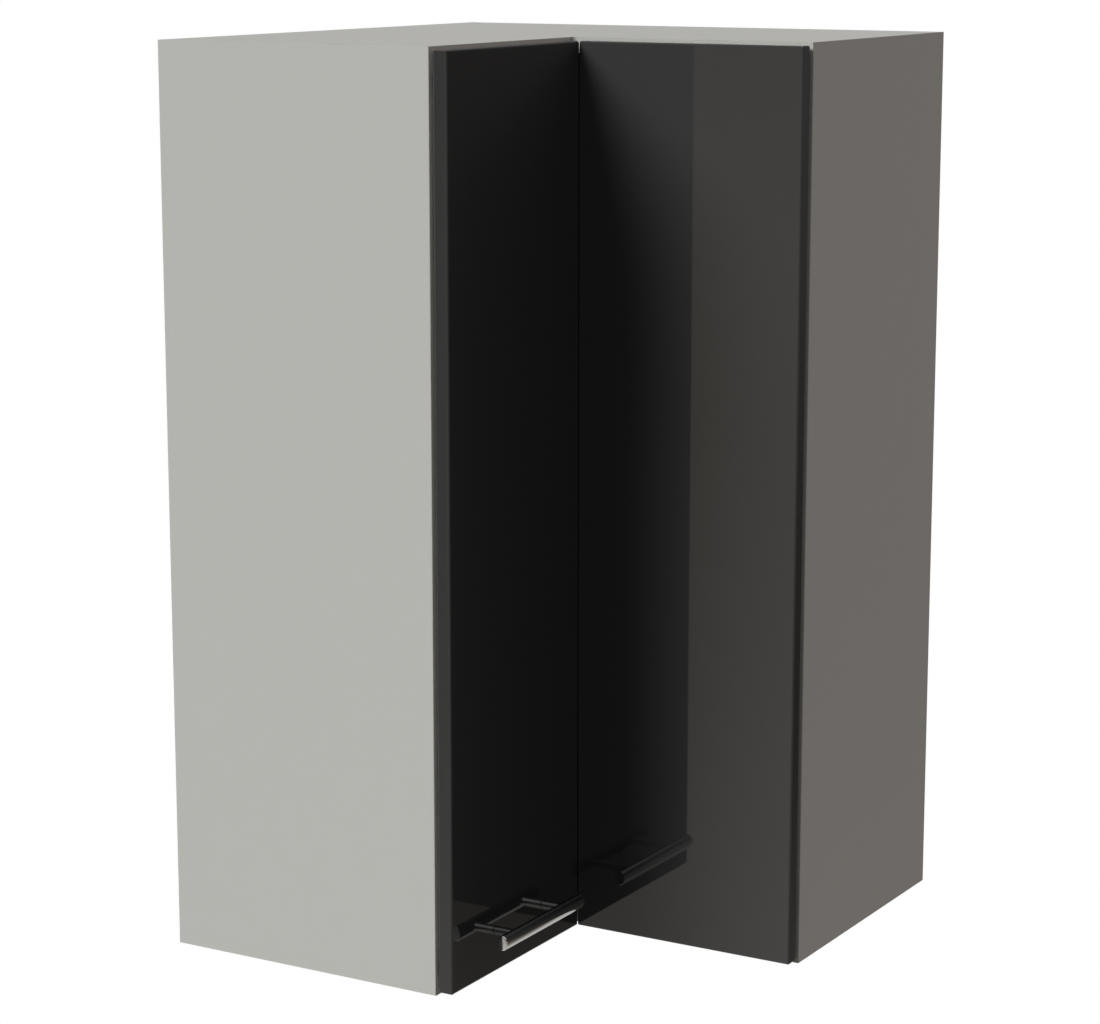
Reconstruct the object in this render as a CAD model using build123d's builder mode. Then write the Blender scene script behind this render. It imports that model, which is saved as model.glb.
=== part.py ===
from build123d import *
import os
from math import atan2, cos, degrees, hypot, radians, sin, sqrt

# Corner wall cabinet with a folding pair of doors. Millimetres, +Z up.
# The room's two walls are the planes x = 0 and y = 0. The cabinet hangs in the corner between them with
# its underside at z = 0. One leg runs along -Y, the other along +X, and they mirror each other.

os.makedirs("parts", exist_ok=True)

# ---- carcass ----
leg = 600.0             # length of each leg along its wall
height = 955.0          # overall height
depth = 325.0           # from the wall to the front edge of an end panel
board = 16.0            # thickness of every carcass board
edge_round = 0.8        # edge band rounding on the end panels
notch_round = 6.0       # inner corner of the L-shaped boards
back_thick = 3.0        # hardboard backs
back_inset = 16.0       # wall to the rear face of a back
groove_depth = 8.0      # how far a back sits in its groove
groove_play = 0.2       # clearance each side of a back in its groove
post = 40.0             # square post in the rear corner
groove_bottom = 0.5     # play behind the edge of a back

# ---- shelves ----
shelf_count = 2
shelf_setback = 20.0    # front edge of a shelf behind the carcass front
shelf_play = 1.0        # clearance to the panels, backs and post
pin_radius = 2.5
pin_hole_depth = 10.0
pin_seat = 9.0          # how far the flat seat of a pin stands out
pin_seat_width = 8.0
pin_seat_height = 5.0
pin_setback = 50.0      # pin rows from the wall and from the front edge
pin_post_offset = 26.0  # place of a pin on the face of the post
hole_pitch = 32.0       # spare holes above and below each pin

# ---- carcass joints ----
fixing_setback = 62.0   # cam fixings from the wall and from the front edge
dowel_step = 32.0       # dowels inboard of the cams
cam_radius = 7.5
cam_depth = 12.5
cam_inset = 24.0        # cam axis from the end of its board
bolt_radius = 2.5
bolt_head_radius = 3.5
bolt_head = 3.0
bolt_in_panel = 11.0
dowel_radius = 4.0
dowel_in_panel = 10.0
dowel_in_board = 20.0
fit_play = 0.1          # radial play of a fixing in its hole
post_screw_radius = 2.0
post_screw_head = 4.0
post_screw_length = 40.0
post_screw_angle = 90.0
post_screw_places = (10.0, 30.0)

# ---- hangers ----
hanger_length = 62.0
hanger_width = 18.0
hanger_height = 40.0
hanger_round = 3.0
hanger_drop = 6.0       # below the underside of the top board
hanger_play = 0.3
hook_thick = 2.5
hook_height = 22.0
hook_lip = 9.0
hook_slot_play = 2.0
hook_play = 0.3         # rear of the hook to the wall
hook_offset = 8.0       # hook from the inner face of the end panel
hook_rise = 9.0         # hook above the underside of its body
hanger_screw_radius = 4.0
hanger_screw_recess = 3.0
hanger_screw_inset = 16.0
hook_in_body = 30.0

# ---- doors ----
door_thick = 16.0
door_gap = 2.5          # carcass front edge to the back of a door
door_reveal = 2.0       # outer edge of a door behind the face of the end panel
door_ends = 3.0         # top and bottom of a door inside the cabinet's height
corner_gap = 0.6        # each leaf's inner edge to the line where the door faces meet
door_round = 2.0
bumper_radius = 4.0
bumper_play = 0.3
bumper_inset = 30.0

# ---- handle ----
bar_length = 160.0
bar_width = 12.0        # across, away from the door
bar_height = 16.0
bar_standoff = 28.0     # bar centre from the door's face
bar_round = 1.5
handle_height = 48.0    # bar centre above the cabinet's underside
handle_offset = 4.25    # middle of the bar from the middle of its leaf, towards the inner corner
foot_radius = 5.0
foot_spacing = 96.0
handle_screw_radius = 2.0
handle_screw_head = 4.0
handle_screw_head_height = 2.0
handle_screw_in_foot = 10.0

# ---- hinges ----
hinge_end = 100.0       # outer hinges from the top and bottom of the cabinet
swing_angle = 110.0     # the first leaf on the end panel
fold_angle = 80.0       # the second leaf on the first
cup_radius = 17.5
cup_depth = 11.5
cup_wall = 1.2
cup_edge = 5.0          # rim of the cup from the edge of the leaf
cup_bore_play = 0.2
flange_thick = 1.2
flange_lip = 1.5
flange_length = 62.0
flange_width = 13.0
cup_screw_offset = 9.5
cup_screw_spacing = 48.0
link_pin_inset = 13.0   # link pin from the edge of the leaf
link_pin_depth = 6.0    # link pin from the back of the leaf
link_pin_radius = 1.5
link_pin_play = 0.05
link_thick = 5.0
link_width = 5.0
link_eye_radius = 3.2
tail_spacing = 28.0     # between the two guide pins of a door hinge link
fold_tail_spacing = 24.0
arm_play = 0.5          # cheeks to the link
cheek = 1.2
slot_play = 0.25        # radial clearance of a guide pin in its slot
arm_margin = 2.4        # metal round the slots
arm_clear = 2.0         # link to its mounting plate
fold_arm_end = 4.0      # end of a fold hinge arm from the line where the door faces meet
fold_knee_clear = 10.0  # knee of a fold link behind the right leaf
past = 1.0              # how far a cutting tool runs past what it cuts
plate_thick = 1.5
plate_width = 14.0
plate_wing = 54.0
plate_corner = 2.0      # cut corners of the plates and the cup flanges
plate_screw_spacing = 32.0
screw_radius = 1.9
screw_head_radius = 3.3
screw_head = 1.6
screw_length = 12.0

# ---- flats of small round pieces and of their holes, in fours so that they line up ----
fixing_sides = 8
cup_sides = 16

# ---- derived ----
hinge_heights = {"lower": hinge_end, "middle": height / 2, "upper": height - hinge_end}
front = depth + door_gap + door_thick           # face of both doors, measured from the walls
inner = leg - board                             # inner face of an end panel
ceiling = height - board                        # underside of the top board
back_low, back_high = back_inset, back_inset + back_thick
clear_height = (ceiling - board - shelf_count * board) / (shelf_count + 1)
shelf_bases = [board + clear_height + i * (clear_height + board) for i in range(shelf_count)]
fixings = (fixing_setback, depth - fixing_setback)
dowel_places = (fixing_setback + dowel_step, depth - fixing_setback - dowel_step)
pin_rows = (pin_setback, depth - pin_setback)
dowel_length = dowel_in_panel + dowel_in_board
hook_base = ceiling - hanger_drop - hanger_height + hook_rise
back_of_door = depth + door_gap
cup_setback = cup_edge + cup_radius
cup_places = (front + corner_gap + cup_setback, leg - door_reveal - cup_setback)
cup_screw_places = (cup_places[0] + cup_screw_offset, cup_places[1] - cup_screw_offset)
leaf_span = (front + corner_gap, leg - door_reveal)
handle_middle = handle_offset - (leaf_span[0] + leaf_span[1]) / 2
foot_places = (handle_middle - foot_spacing / 2, handle_middle + foot_spacing / 2)

# ---- derived: hinges ----
# Each leaf turns about the line of its own front corner at the hinged side. The link pin stands off that
# line by its inset along the leaf and by its distance from the leaf's face. The link shifts without
# turning, so each of its guide pins follows the link pin's arc, shifted.
swing_reach = (link_pin_inset, link_pin_depth - door_thick)
swing_radius = hypot(*swing_reach)
swing_start = degrees(atan2(swing_reach[1], swing_reach[0]))
swing_end = (
    swing_radius * cos(radians(swing_start + swing_angle)),
    swing_radius * sin(radians(swing_start + swing_angle)),
)
fold_reach = (door_thick - link_pin_depth, corner_gap + link_pin_inset)
fold_radius = hypot(*fold_reach)
fold_start = degrees(atan2(fold_reach[1], fold_reach[0]))
fold_end_y = fold_radius * sin(radians(fold_start - fold_angle))
slot_half = link_pin_radius + slot_play
rim_metal = slot_half + arm_margin              # from the path of a guide pin to the edge of the arm
arm_half = link_thick / 2 + arm_play + cheek    # half the width of an arm
cup_pin_side = cup_setback - link_pin_inset + link_pin_radius
cup_flat = cup_radius * cos(radians(180 / cup_sides))
cup_pin_half = sqrt(cup_flat**2 - cup_pin_side**2) - cup_wall / 4

# Door hinge: x inwards from the end panel's outer face, y forwards from its front edge.
door_pin = (door_reveal + link_pin_inset, door_gap + link_pin_depth)
door_seat = board + plate_thick
shank = door_seat + arm_clear + link_width / 2 + swing_reach[0] - swing_end[0]
first_guide = -rim_metal - (swing_end[1] - swing_reach[1])
door_guides = [(shank, first_guide), (shank, first_guide - tail_spacing)]
door_link_route = [door_pin, (shank, door_pin[1]), door_guides[1]]
door_nose = shank - swing_reach[0] + swing_end[0] + rim_metal
door_web = shank - swing_reach[0] + swing_radius + rim_metal
door_tail = door_guides[1][1] - rim_metal
door_arm_outline = [
    (door_seat, 0),
    (door_nose, 0),
    (door_web + cheek, door_nose - door_web - cheek),
    (door_web + cheek, door_tail),
    (door_seat, door_tail),
]
door_arm_hollow = [
    (door_seat - past, past),
    (door_web, past),
    (door_web, door_tail - past),
    (door_seat - past, door_tail - past),
]

# Fold hinge: x away from the back of the right leaf, y away from the back of the left one, 0 at the line
# where the two door faces meet.
fold_seat = -door_thick - plate_thick
fold_level = fold_seat - arm_clear - link_width / 2
first_fold_guide = -fold_arm_end - rim_metal - (fold_radius - fold_reach[0])
fold_guides = [(first_fold_guide, fold_level), (first_fold_guide - fold_tail_spacing, fold_level)]
fold_knee = door_thick + fold_knee_clear
fold_link_route = [fold_reach, (fold_knee, fold_reach[1]), (fold_knee, fold_level), fold_guides[1]]
fold_web = fold_level + fold_end_y - fold_reach[1] - rim_metal
fold_tail = fold_guides[1][0] - rim_metal
fold_arm_outline = [
    (-fold_arm_end, fold_seat),
    (-fold_arm_end, fold_web - cheek),
    (fold_tail, fold_web - cheek),
    (fold_tail, fold_seat),
]
fold_arm_hollow = [
    (past - fold_arm_end, fold_seat + past),
    (past - fold_arm_end, fold_web),
    (fold_tail - past, fold_web),
    (fold_tail - past, fold_seat + past),
]
door_arm_length, door_arm_middle = -door_tail, -door_tail / 2
fold_arm_length, fold_arm_middle = -fold_arm_end - fold_tail, (fold_tail - fold_arm_end) / 2
DIAGONAL = Plane(origin=(0, 0, 0), x_dir=(0, 0, 1), z_dir=(1, 1, 0))


def save(builder, name):
    """Label a finished piece and write it."""
    builder.part.label = name
    export_step(builder.part, f"parts/{name}.step")


def block(x, y, z, mode=Mode.ADD):
    """A square-cut block in the part being built, from its spans along X, Y and Z."""
    with BuildSketch(Plane.XY.offset(z[0])) as section:
        with Locations(((x[0] + x[1]) / 2, (y[0] + y[1]) / 2)):
            Rectangle(x[1] - x[0], y[1] - y[0])
    extrude(section.sketch, amount=z[1] - z[0], mode=mode)


def rod(plane, radius, length, mode=Mode.ADD, sides=fixing_sides):
    """A rod or bore in the part being built, from a plane along its normal, rounded in flats."""
    with BuildSketch(plane) as section:
        RegularPolygon(radius, sides)
    extrude(section.sketch, amount=length, mode=mode)


def copy_across(source, name):
    """The other leg's copy of a piece: its mirror image in the diagonal of the corner."""
    with BuildPart() as copy:
        add(source.part)
        mirror(about=DIAGONAL, mode=Mode.REPLACE)
    save(copy, name)


def facing(origin, direction):
    """A plane at a point, looking along a direction."""
    return Plane(origin=origin, z_dir=direction)


def l_outline(wall, end, face):
    """Corners of an L-shaped board: its distance from the walls, its ends and its front edges."""
    return [(wall, -wall), (end, -wall), (end, -face), (face, -face), (face, -end), (wall, -end)]


# ======== end panels ========
with BuildPart() as left_end_panel:
    block((0, depth), (-leg, -inner), (0, height))
    fillet(left_end_panel.edges().filter_by(Axis.Z), edge_round)
    block(
        (back_low - groove_play, back_high + groove_play),
        (-inner - groove_depth - groove_bottom, -inner),
        (board - groove_depth - groove_bottom, ceiling + groove_depth + groove_bottom),
        mode=Mode.SUBTRACT,
    )
    for z in (board / 2, height - board / 2):
        for x in fixings:
            hole = facing((x, -inner, z), (0, -1, 0))
            rod(hole, bolt_radius + fit_play, bolt_in_panel + fit_play, Mode.SUBTRACT)
        for x in dowel_places:
            hole = facing((x, -inner, z), (0, -1, 0))
            rod(hole, dowel_radius + fit_play, dowel_in_panel + fit_play, Mode.SUBTRACT)
    for base in shelf_bases:
        for step in (-hole_pitch, 0, hole_pitch):
            for x in pin_rows:
                hole = facing((x, -inner, base - pin_seat_height / 2 + step), (0, -1, 0))
                rod(hole, pin_radius + fit_play, pin_hole_depth + fit_play, Mode.SUBTRACT)
save(left_end_panel, "left_end_panel")

with BuildPart() as right_end_panel:
    add(left_end_panel.part)
    mirror(about=DIAGONAL, mode=Mode.REPLACE)
    for z in hinge_heights.values():
        for v in (-plate_screw_spacing / 2, plate_screw_spacing / 2):
            bore = facing((inner, -depth + door_arm_middle, z + v), (1, 0, 0))
            rod(bore, screw_radius + fit_play, screw_length, Mode.SUBTRACT)
save(right_end_panel, "right_end_panel")


# ======== top and bottom boards ========
def end_board(base, inside, name):
    """An L-shaped board between the end panels. inside is +1 where its inner face looks up."""
    face = base + board if inside > 0 else base
    outside = base if inside > 0 else base + board
    middle = base + board / 2
    groove = (back_low - groove_play, back_high + groove_play)
    floor = sorted((face, face - inside * (groove_depth + groove_bottom)))
    start = post - groove_depth - groove_bottom
    with BuildPart() as piece:
        with BuildSketch(Plane.XY.offset(base)) as outline:
            with BuildLine():
                Polyline(l_outline(0, inner, depth), close=True)
            make_face()
            fillet(outline.vertices().sort_by_distance((depth, -depth, 0))[0], notch_round)
        extrude(amount=board)
        block(groove, (-inner, -start), floor, mode=Mode.SUBTRACT)
        block((start, inner), (-groove[1], -groove[0]), floor, mode=Mode.SUBTRACT)
        for place in fixings:
            for spot, outward in (
                ((place, -inner + cam_inset), (0, -1, 0)),
                ((inner - cam_inset, -place), (1, 0, 0)),
            ):
                pocket = facing((*spot, face), (0, 0, -inside))
                rod(pocket, cam_radius + fit_play, cam_depth + fit_play, Mode.SUBTRACT)
                channel = facing((*spot, middle), outward)
                rod(channel, bolt_head_radius + fit_play, cam_inset, Mode.SUBTRACT)
        for place in dowel_places:
            for spot, inward in (((place, -inner), (0, 1, 0)), ((inner, -place), (-1, 0, 0))):
                hole = facing((*spot, middle), inward)
                rod(hole, dowel_radius + fit_play, dowel_in_board + fit_play, Mode.SUBTRACT)
        for place in post_screw_places:
            with Locations(facing((place, -place, outside), (0, 0, -inside))):
                CounterSinkHole(
                    post_screw_radius + fit_play, post_screw_head + fit_play, board, post_screw_angle
                )
    save(piece, name)


end_board(0, 1, "bottom_board")
end_board(ceiling, -1, "top_board")

# ======== backs and corner post ========
with BuildPart() as left_back_panel:
    block(
        (back_low, back_high),
        (-inner - groove_depth, -post + groove_depth),
        (board - groove_depth, ceiling + groove_depth),
    )
    block(
        (back_low, back_high),
        (-inner, -inner + hook_offset + hook_thick + hook_slot_play),
        (hook_base - hook_slot_play, hook_base + hook_height + hook_slot_play),
        mode=Mode.SUBTRACT,
    )
save(left_back_panel, "left_back_panel")
copy_across(left_back_panel, "right_back_panel")

with BuildPart() as corner_post:
    block((0, post), (-post, 0), (board, ceiling))
    groove = (back_low - groove_play, back_high + groove_play)
    seat = (post - groove_depth - groove_bottom, post)
    block(groove, (-seat[1], -seat[0]), (board, ceiling), mode=Mode.SUBTRACT)
    block(seat, (-groove[1], -groove[0]), (board, ceiling), mode=Mode.SUBTRACT)
    for place in post_screw_places:
        for end, direction in ((board, 1), (ceiling, -1)):
            hole = facing((place, -place, end), (0, 0, direction))
            rod(hole, post_screw_radius + fit_play, post_screw_length - board, Mode.SUBTRACT)
    for base in shelf_bases:
        hole = facing((pin_post_offset, -post, base - pin_seat_height / 2), (0, 1, 0))
        rod(hole, pin_radius + fit_play, pin_hole_depth + fit_play, Mode.SUBTRACT)
        hole = facing((post, -pin_post_offset, base - pin_seat_height / 2), (-1, 0, 0))
        rod(hole, pin_radius + fit_play, pin_hole_depth + fit_play, Mode.SUBTRACT)
save(corner_post, "corner_post")

# ======== fixings that hold the carcass together ========
with BuildPart() as cam_housings:
    for face, inside in ((board, 1), (ceiling, -1)):
        for place in fixings:
            for spot, outward in (
                ((place, -inner + cam_inset), (0, -1, 0)),
                ((inner - cam_inset, -place), (1, 0, 0)),
            ):
                rod(facing((*spot, face), (0, 0, -inside)), cam_radius, cam_depth)
                mouth = facing((*spot, face - inside * board / 2), outward).offset(-bolt_head - fit_play)
                rod(mouth, bolt_head_radius + fit_play, 2 * cam_radius, Mode.SUBTRACT)
save(cam_housings, "cam_housings")

with BuildPart() as cam_bolts:
    for middle in (board / 2, height - board / 2):
        for place in fixings:
            for spot, outward in (
                ((place, -inner + cam_inset), (0, -1, 0)),
                ((inner - cam_inset, -place), (1, 0, 0)),
            ):
                tip = facing((*spot, middle), outward)
                rod(tip.offset(-bolt_head), bolt_head_radius, bolt_head)
                rod(tip, bolt_radius, cam_inset + bolt_in_panel)
save(cam_bolts, "cam_bolts")

with BuildPart() as dowels:
    for middle in (board / 2, height - board / 2):
        for place in dowel_places:
            for spot, outward in (((place, -inner), (0, -1, 0)), ((inner, -place), (1, 0, 0))):
                rod(facing((*spot, middle), outward).offset(-dowel_in_board), dowel_radius, dowel_length)
save(dowels, "dowels")

with BuildPart() as post_screws:
    for outside, inside in ((0, 1), (height, -1)):
        for place in post_screw_places:
            top = facing((place, -place, outside), (0, 0, inside))
            rod(top, post_screw_radius, post_screw_length)
            with BuildSketch(top) as head:
                RegularPolygon(post_screw_head, fixing_sides)
            extrude(head.sketch, amount=post_screw_head - post_screw_radius, taper=post_screw_angle / 2)
save(post_screws, "post_screws")

# ======== shelves and their pins ========
for name, base in zip(("lower_shelf", "upper_shelf"), shelf_bases):
    rear = back_high + shelf_play
    end = inner - shelf_play
    notch = post + shelf_play
    outline = l_outline(rear, end, depth - shelf_setback)[1:]
    outline += [(rear, -notch), (notch, -notch), (notch, -rear)]
    with BuildPart() as shelf:
        with BuildSketch(Plane.XY.offset(base)) as plan:
            with BuildLine():
                Polyline(outline, close=True)
            make_face()
            elbow = (depth - shelf_setback, shelf_setback - depth, 0)
            fillet(plan.vertices().sort_by_distance(elbow)[0], notch_round)
        extrude(amount=board)
    save(shelf, name)

    with BuildPart() as pins:
        seats = [((x, -inner), (0, 1, 0)) for x in pin_rows]
        seats += [((inner, -y), (-1, 0, 0)) for y in pin_rows]
        seats += [((pin_post_offset, -post), (0, -1, 0)), ((post, -pin_post_offset), (1, 0, 0))]
        for spot, outward in seats:
            seat = Plane(
                origin=(*spot, base - pin_seat_height / 2),
                x_dir=(outward[1], outward[0], 0),
                z_dir=outward,
            )
            rod(seat, pin_radius, -pin_hole_depth)
            with BuildSketch(seat) as tongue:
                Rectangle(pin_seat_width, pin_seat_height)
            extrude(tongue.sketch, amount=pin_seat)
    save(pins, f"{name}_pins")

# ======== wall hangers ========
with BuildPart() as left_hanger_body:
    long = (back_high + hanger_play, back_high + hanger_play + hanger_length)
    wide = (-inner, -inner + hanger_width)
    tall = (ceiling - hanger_drop - hanger_height, ceiling - hanger_drop)
    block(long, wide, tall)
    fillet(left_hanger_body.faces().sort_by(Axis.Y)[-1].edges(), hanger_round)
    block(
        (long[0], long[0] + hook_in_body + hanger_play),
        (-inner + hook_offset - hanger_play, -inner + hook_offset + hook_thick + hanger_play),
        (hook_base - hanger_play, hook_base + hook_height + hanger_play),
        mode=Mode.SUBTRACT,
    )
    for x in (long[1] - hanger_screw_inset, long[1] - 2 * hanger_screw_inset):
        axis = facing((x, -inner + hanger_width, (tall[0] + tall[1]) / 2), (0, -1, 0))
        rod(axis, hanger_screw_radius, hanger_screw_recess, Mode.SUBTRACT)
save(left_hanger_body, "left_hanger_body")
copy_across(left_hanger_body, "right_hanger_body")

with BuildPart() as left_hanger_hook:
    side = Plane(origin=(0, -inner + hook_offset, 0), x_dir=(1, 0, 0), z_dir=(0, -1, 0))
    with BuildSketch(side):
        with BuildLine():
            Polyline(
                (hook_play, hook_base - hook_lip),
                (hook_play + hook_thick, hook_base - hook_lip),
                (hook_play + hook_thick, hook_base),
                (back_high + hanger_play + hook_in_body, hook_base),
                (back_high + hanger_play + hook_in_body, hook_base + hook_height),
                (hook_play, hook_base + hook_height),
                close=True,
            )
        make_face()
    extrude(amount=-hook_thick)
save(left_hanger_hook, "left_hanger_hook")
copy_across(left_hanger_hook, "right_hanger_hook")


# ======== hinges ========
def door_frame(z):
    """Hinge on the end panel: x inwards from the panel's outer face, y forwards from its front edge."""
    return Plane(origin=(leg, -depth, z), x_dir=(-1, 0, 0), z_dir=(0, 0, 1))


def fold_frame(z):
    """Hinge between the leaves: origin where the door faces meet, x along -left leaf, y along +right leaf."""
    return Plane(origin=(front, -front, z), x_dir=(0, 1, 0), z_dir=(0, 0, -1))


def hinge_cup(rim, name):
    """A pressed cup with its flange and link pin. rim lies on the leaf's back, looking into the leaf."""
    with BuildPart() as cup:
        rod(rim, cup_radius, cup_depth, sides=cup_sides)
        with BuildSketch(rim.offset(-flange_thick)) as flange:
            with Locations((cup_screw_offset, 0)):
                Rectangle(flange_width, flange_length)
            chamfer(flange.vertices(), plate_corner)
            RegularPolygon(cup_radius + flange_lip, cup_sides)
        extrude(flange.sketch, amount=flange_thick)
        inside = flange_thick + cup_depth - cup_wall
        rod(rim.offset(-flange_thick), cup_radius - cup_wall, inside, Mode.SUBTRACT, cup_sides)
        pin = rim.from_local_coords((link_pin_inset - cup_setback, 0, link_pin_depth))
        with BuildSketch(Plane(origin=pin, z_dir=(0, 0, 1))) as section:
            Circle(link_pin_radius)
        extrude(section.sketch, amount=cup_pin_half, both=True)
        for y in (-cup_screw_spacing / 2, cup_screw_spacing / 2):
            hole = facing(rim.from_local_coords((cup_screw_offset, y, -flange_thick)), rim.z_dir)
            rod(hole, screw_radius + fit_play, flange_thick, Mode.SUBTRACT)
    save(cup, name)


def hinge_link(frame, route, guides, name):
    """A flat cranked link. route runs from the pin in the cup, guides are its pins in the arm's slots."""
    with BuildPart() as link:
        with BuildSketch(frame) as outline:
            for start, end in zip(route, route[1:]):
                run = (end[0] - start[0], end[1] - start[1])
                middle = ((start[0] + end[0]) / 2, (start[1] + end[1]) / 2)
                with Locations(Location((*middle, 0), (0, 0, degrees(atan2(run[1], run[0]))))):
                    SlotCenterToCenter(hypot(*run), link_width)
            with Locations(route[0]):
                Circle(link_eye_radius)
                Circle(link_pin_radius + link_pin_play, mode=Mode.SUBTRACT)
        extrude(outline.sketch, amount=link_thick / 2, both=True)
        with BuildSketch(frame) as pins:
            with Locations(*guides):
                RegularPolygon(link_pin_radius, fixing_sides)
        extrude(pins.sketch, amount=arm_half, both=True)
    save(link, name)


def hinge_arm(frame, outline, hollow, slots, name):
    """A folded arm: two cheeks with curved slots, joined by a web where the hollow stops."""
    with BuildPart() as arm:
        with BuildSketch(frame) as profile:
            with BuildLine():
                Polyline(outline, close=True)
            make_face()
        extrude(profile.sketch, amount=arm_half, both=True)
        with BuildSketch(frame) as inside:
            with BuildLine():
                Polyline(hollow, close=True)
            make_face()
        extrude(inside.sketch, amount=arm_half - cheek, both=True, mode=Mode.SUBTRACT)
        with BuildSketch(frame) as tracks:
            for path in slots:
                SlotArc(path, 2 * (link_pin_radius + slot_play))
        extrude(tracks.sketch, amount=arm_half, both=True, mode=Mode.SUBTRACT)
    save(arm, name)


def hinge_plate(seat, length, name):
    """A winged mounting plate. seat lies on the board, looking away from it, its X along the arm."""
    with BuildPart() as plate:
        with BuildSketch(seat) as outline:
            Rectangle(length, plate_width)
            Rectangle(plate_width, plate_wing)
            chamfer(outline.vertices(), plate_corner)
            with Locations((0, -plate_screw_spacing / 2), (0, plate_screw_spacing / 2)):
                RegularPolygon(screw_radius + fit_play, fixing_sides, mode=Mode.SUBTRACT)
        extrude(outline.sketch, amount=plate_thick)
    save(plate, name)


def screw(seat):
    """A pan-head screw in the part being built. seat lies under its head, looking out of the board."""
    rod(seat, screw_head_radius, screw_head)
    rod(seat, screw_radius, -screw_length)


def slot_path(guide, reach, start, sweep):
    """The arc that a guide pin follows, from where it is with the doors closed."""
    return CenterArc((guide[0] - reach[0], guide[1] - reach[1]), hypot(*reach), start, sweep)


door_slots = [slot_path(guide, swing_reach, swing_start, swing_angle) for guide in door_guides]
fold_slots = [slot_path(guide, fold_reach, fold_start, -fold_angle) for guide in fold_guides]

for level, z in hinge_heights.items():
    frame = door_frame(z)
    hinge_arm(frame, door_arm_outline, door_arm_hollow, door_slots, f"door_hinge_arm_{level}")
    hinge_link(frame, door_link_route, door_guides, f"door_hinge_link_{level}")
    seat = Plane(origin=(inner, door_arm_middle - depth, z), x_dir=(0, 1, 0), z_dir=(-1, 0, 0))
    hinge_plate(seat, door_arm_length, f"door_hinge_plate_{level}")
    rim = Plane(origin=(cup_places[1], -back_of_door, z), x_dir=(-1, 0, 0), z_dir=(0, -1, 0))
    hinge_cup(rim, f"door_hinge_cup_{level}")

    frame = fold_frame(z)
    hinge_arm(frame, fold_arm_outline, fold_arm_hollow, fold_slots, f"fold_hinge_arm_{level}")
    hinge_link(frame, fold_link_route, fold_guides, f"fold_hinge_link_{level}")
    seat = Plane(origin=(back_of_door, -front + fold_arm_middle, z), x_dir=(0, 1, 0), z_dir=(-1, 0, 0))
    hinge_plate(seat, fold_arm_length, f"fold_hinge_plate_{level}")
    rim = Plane(origin=(cup_places[0], -back_of_door, z), x_dir=(1, 0, 0), z_dir=(0, -1, 0))
    hinge_cup(rim, f"fold_hinge_cup_{level}")

with BuildPart() as door_plate_screws:
    for z in hinge_heights.values():
        for step in (-plate_screw_spacing / 2, plate_screw_spacing / 2):
            screw(facing((inner - plate_thick, door_arm_middle - depth, z + step), (-1, 0, 0)))
save(door_plate_screws, "door_plate_screws")

with BuildPart() as fold_plate_screws:
    for z in hinge_heights.values():
        for step in (-plate_screw_spacing / 2, plate_screw_spacing / 2):
            screw(facing((back_of_door - plate_thick, fold_arm_middle - front, z + step), (-1, 0, 0)))
save(fold_plate_screws, "fold_plate_screws")

with BuildPart() as cup_screws:
    for z in hinge_heights.values():
        for x in cup_screw_places:
            for step in (-cup_screw_spacing / 2, cup_screw_spacing / 2):
                screw(facing((x, flange_thick - back_of_door, z + step), (0, 1, 0)))
save(cup_screws, "cup_screws")

# ======== doors ========
with BuildPart() as right_door:
    block(leaf_span, (-front, -back_of_door), (door_ends, height - door_ends))
    fillet(right_door.edges() - right_door.edges().filter_by(Axis.Z).group_by(Axis.X)[0], door_round)
    for z in hinge_heights.values():
        for x in cup_places:
            bore = facing((x, -back_of_door, z), (0, -1, 0))
            rod(bore, cup_radius + cup_bore_play, cup_depth + cup_bore_play, Mode.SUBTRACT, cup_sides)
        for x in cup_screw_places:
            for step in (-cup_screw_spacing / 2, cup_screw_spacing / 2):
                bore = facing((x, -back_of_door, z + step), (0, -1, 0))
                rod(bore, screw_radius + fit_play, screw_length - flange_thick, Mode.SUBTRACT)
save(right_door, "right_door")

with BuildPart() as left_door:
    block((back_of_door, front), (-leaf_span[1], -leaf_span[0]), (door_ends, height - door_ends))
    fillet(left_door.edges() - left_door.edges().filter_by(Axis.Z).group_by(Axis.Y)[-1], door_round)
    for z in hinge_heights.values():
        for step in (-plate_screw_spacing / 2, plate_screw_spacing / 2):
            bore = facing((back_of_door, fold_arm_middle - front, z + step), (1, 0, 0))
            rod(bore, screw_radius + fit_play, screw_length - plate_thick, Mode.SUBTRACT)
    for y in foot_places:
        bore = facing((back_of_door, y, handle_height), (1, 0, 0))
        rod(bore, handle_screw_radius + fit_play, door_thick, Mode.SUBTRACT)
save(left_door, "left_door")

with BuildPart() as door_bumpers:
    for z in (bumper_inset, height - bumper_inset):
        pad = facing((back_of_door, -leg + board / 2, z), (-1, 0, 0))
        rod(pad, bumper_radius, door_gap - bumper_play)
save(door_bumpers, "door_bumpers")

# ======== handle ========
with BuildPart() as handle_bar:
    end = (front + bar_standoff, handle_middle - bar_length / 2, handle_height)
    with BuildSketch(Plane(origin=end, x_dir=(1, 0, 0), z_dir=(0, 1, 0))):
        Ellipse(bar_width / 2, bar_height / 2)
    extrude(amount=bar_length)
    chamfer(handle_bar.edges().filter_by(lambda edge: edge.is_closed), bar_round)
save(handle_bar, "handle_bar")

for y, name in zip(foot_places, ("handle_foot_outer", "handle_foot_inner")):
    with BuildPart() as foot:
        base = facing((front, y, handle_height), (1, 0, 0))
        with BuildSketch(base) as section:
            Circle(foot_radius)
        extrude(section.sketch, amount=bar_standoff)
        add(handle_bar.part, mode=Mode.SUBTRACT)
        rod(base, handle_screw_radius + fit_play, handle_screw_in_foot + fit_play, Mode.SUBTRACT)
    save(foot, name)

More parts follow.
